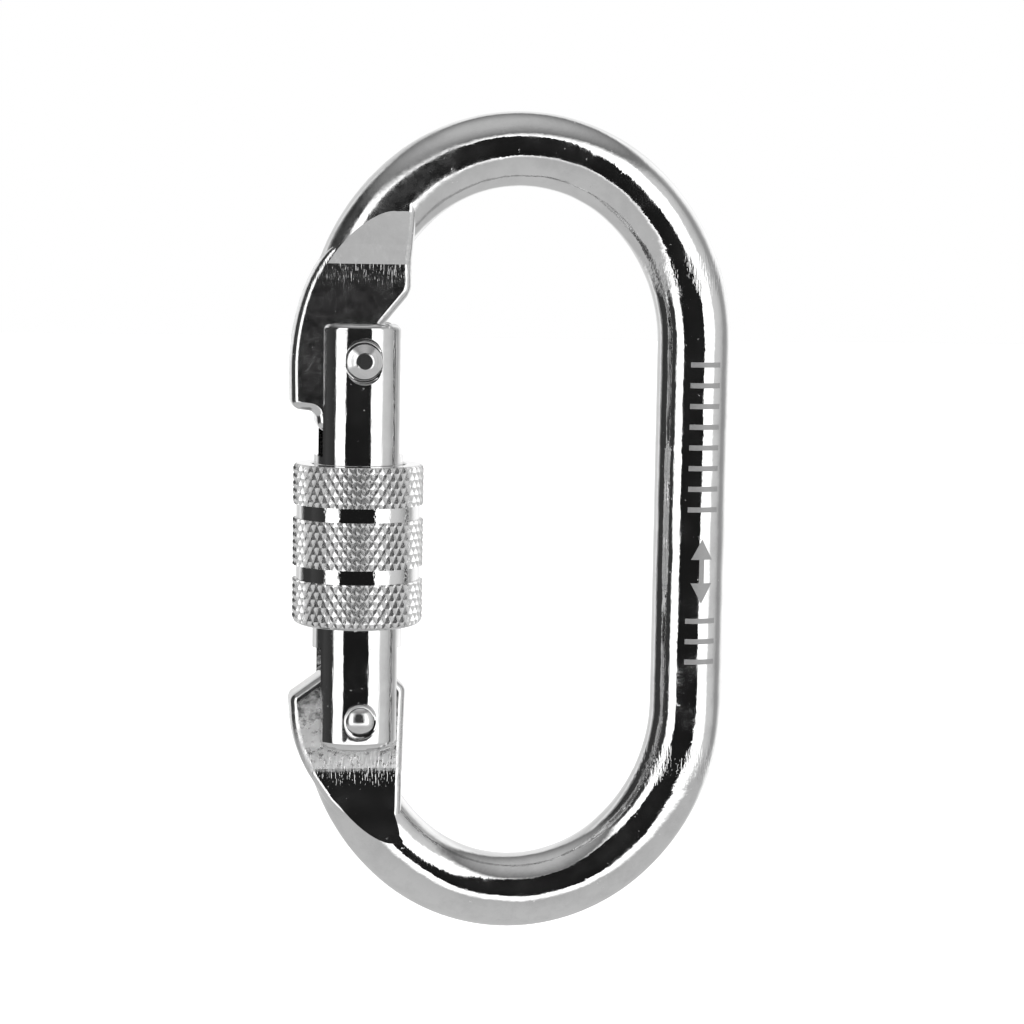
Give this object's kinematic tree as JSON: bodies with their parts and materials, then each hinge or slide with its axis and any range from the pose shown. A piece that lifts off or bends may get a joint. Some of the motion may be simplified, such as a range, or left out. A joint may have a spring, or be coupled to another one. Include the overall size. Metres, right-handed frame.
{
  "type": "oval screw-gate carabiner",
  "caption": "Oval steel carabiner bent from round bar, with forged flat ends, a sprung swinging gate and a knurled screw sleeve that locks it.",
  "frame": {"origin": "centre of the bounding box of the whole carabiner with the gate shut", "axes": "+Z along the oval, towards the nose end of the gate; +X towards the spine; Y through the thickness, both faces alike"},
  "size_m": [0.0601, 0.0174, 0.111],
  "materials": {
    "frame_plating": "bright plated steel, slightly wavy",
    "gate_plating": "bright plated steel",
    "sleeve_plating": "diamond knurled bands, bright grooves",
    "pin_plating": "upset heads, bright plated",
    "bright_steel": "drawn and ground steel"
  },
  "bodies": {
    "frame": {"frame_body": "frame_plating"},
    "gate": {"gate_barrel": "gate_plating", "hinge_rivet": "pin_plating", "latch_pin": "pin_plating", "gate_spring": "bright_steel"},
    "plunger": {"plunger": "bright_steel"},
    "sleeve_lifter": {"sleeve_bush": "sleeve_plating"},
    "sleeve": {"sleeve_shell": "sleeve_plating"}
  },
  "joints": [
    {"name": "gate_hinge", "type": "hinge", "parent": "frame", "child": "gate", "pos_m": [-0.0207, 0, -0.0259], "axis": [0, 1, 0], "range_deg": [0, 30], "stiffness_Nm_per_rad": 0.3, "springref_deg": -28.65},
    {"name": "plunger_slide", "type": "slide", "parent": "gate", "child": "plunger", "axis": [0, 0, 1], "range_m": [0, 0.00061], "deforming": ["gate_spring"]},
    {"name": "sleeve_lift", "type": "slide", "parent": "gate", "child": "sleeve_lifter", "axis": [0, 0, 1], "range_m": [-0.003, 0.0065]},
    {"name": "sleeve_turn", "type": "hinge", "parent": "sleeve_lifter", "child": "sleeve", "pos_m": [-0.0207, 0, -0.0026], "axis": [0, 0, 1], "range_deg": [-722, 1562]}
  ],
  "couplings": [
    {"joint": "plunger_slide", "follows": "gate_hinge", "m_per_rad": 0.0011459},
    {"joint": "sleeve_turn", "follows": "sleeve_lift", "rad_per_m": 4188.8}
  ]
}
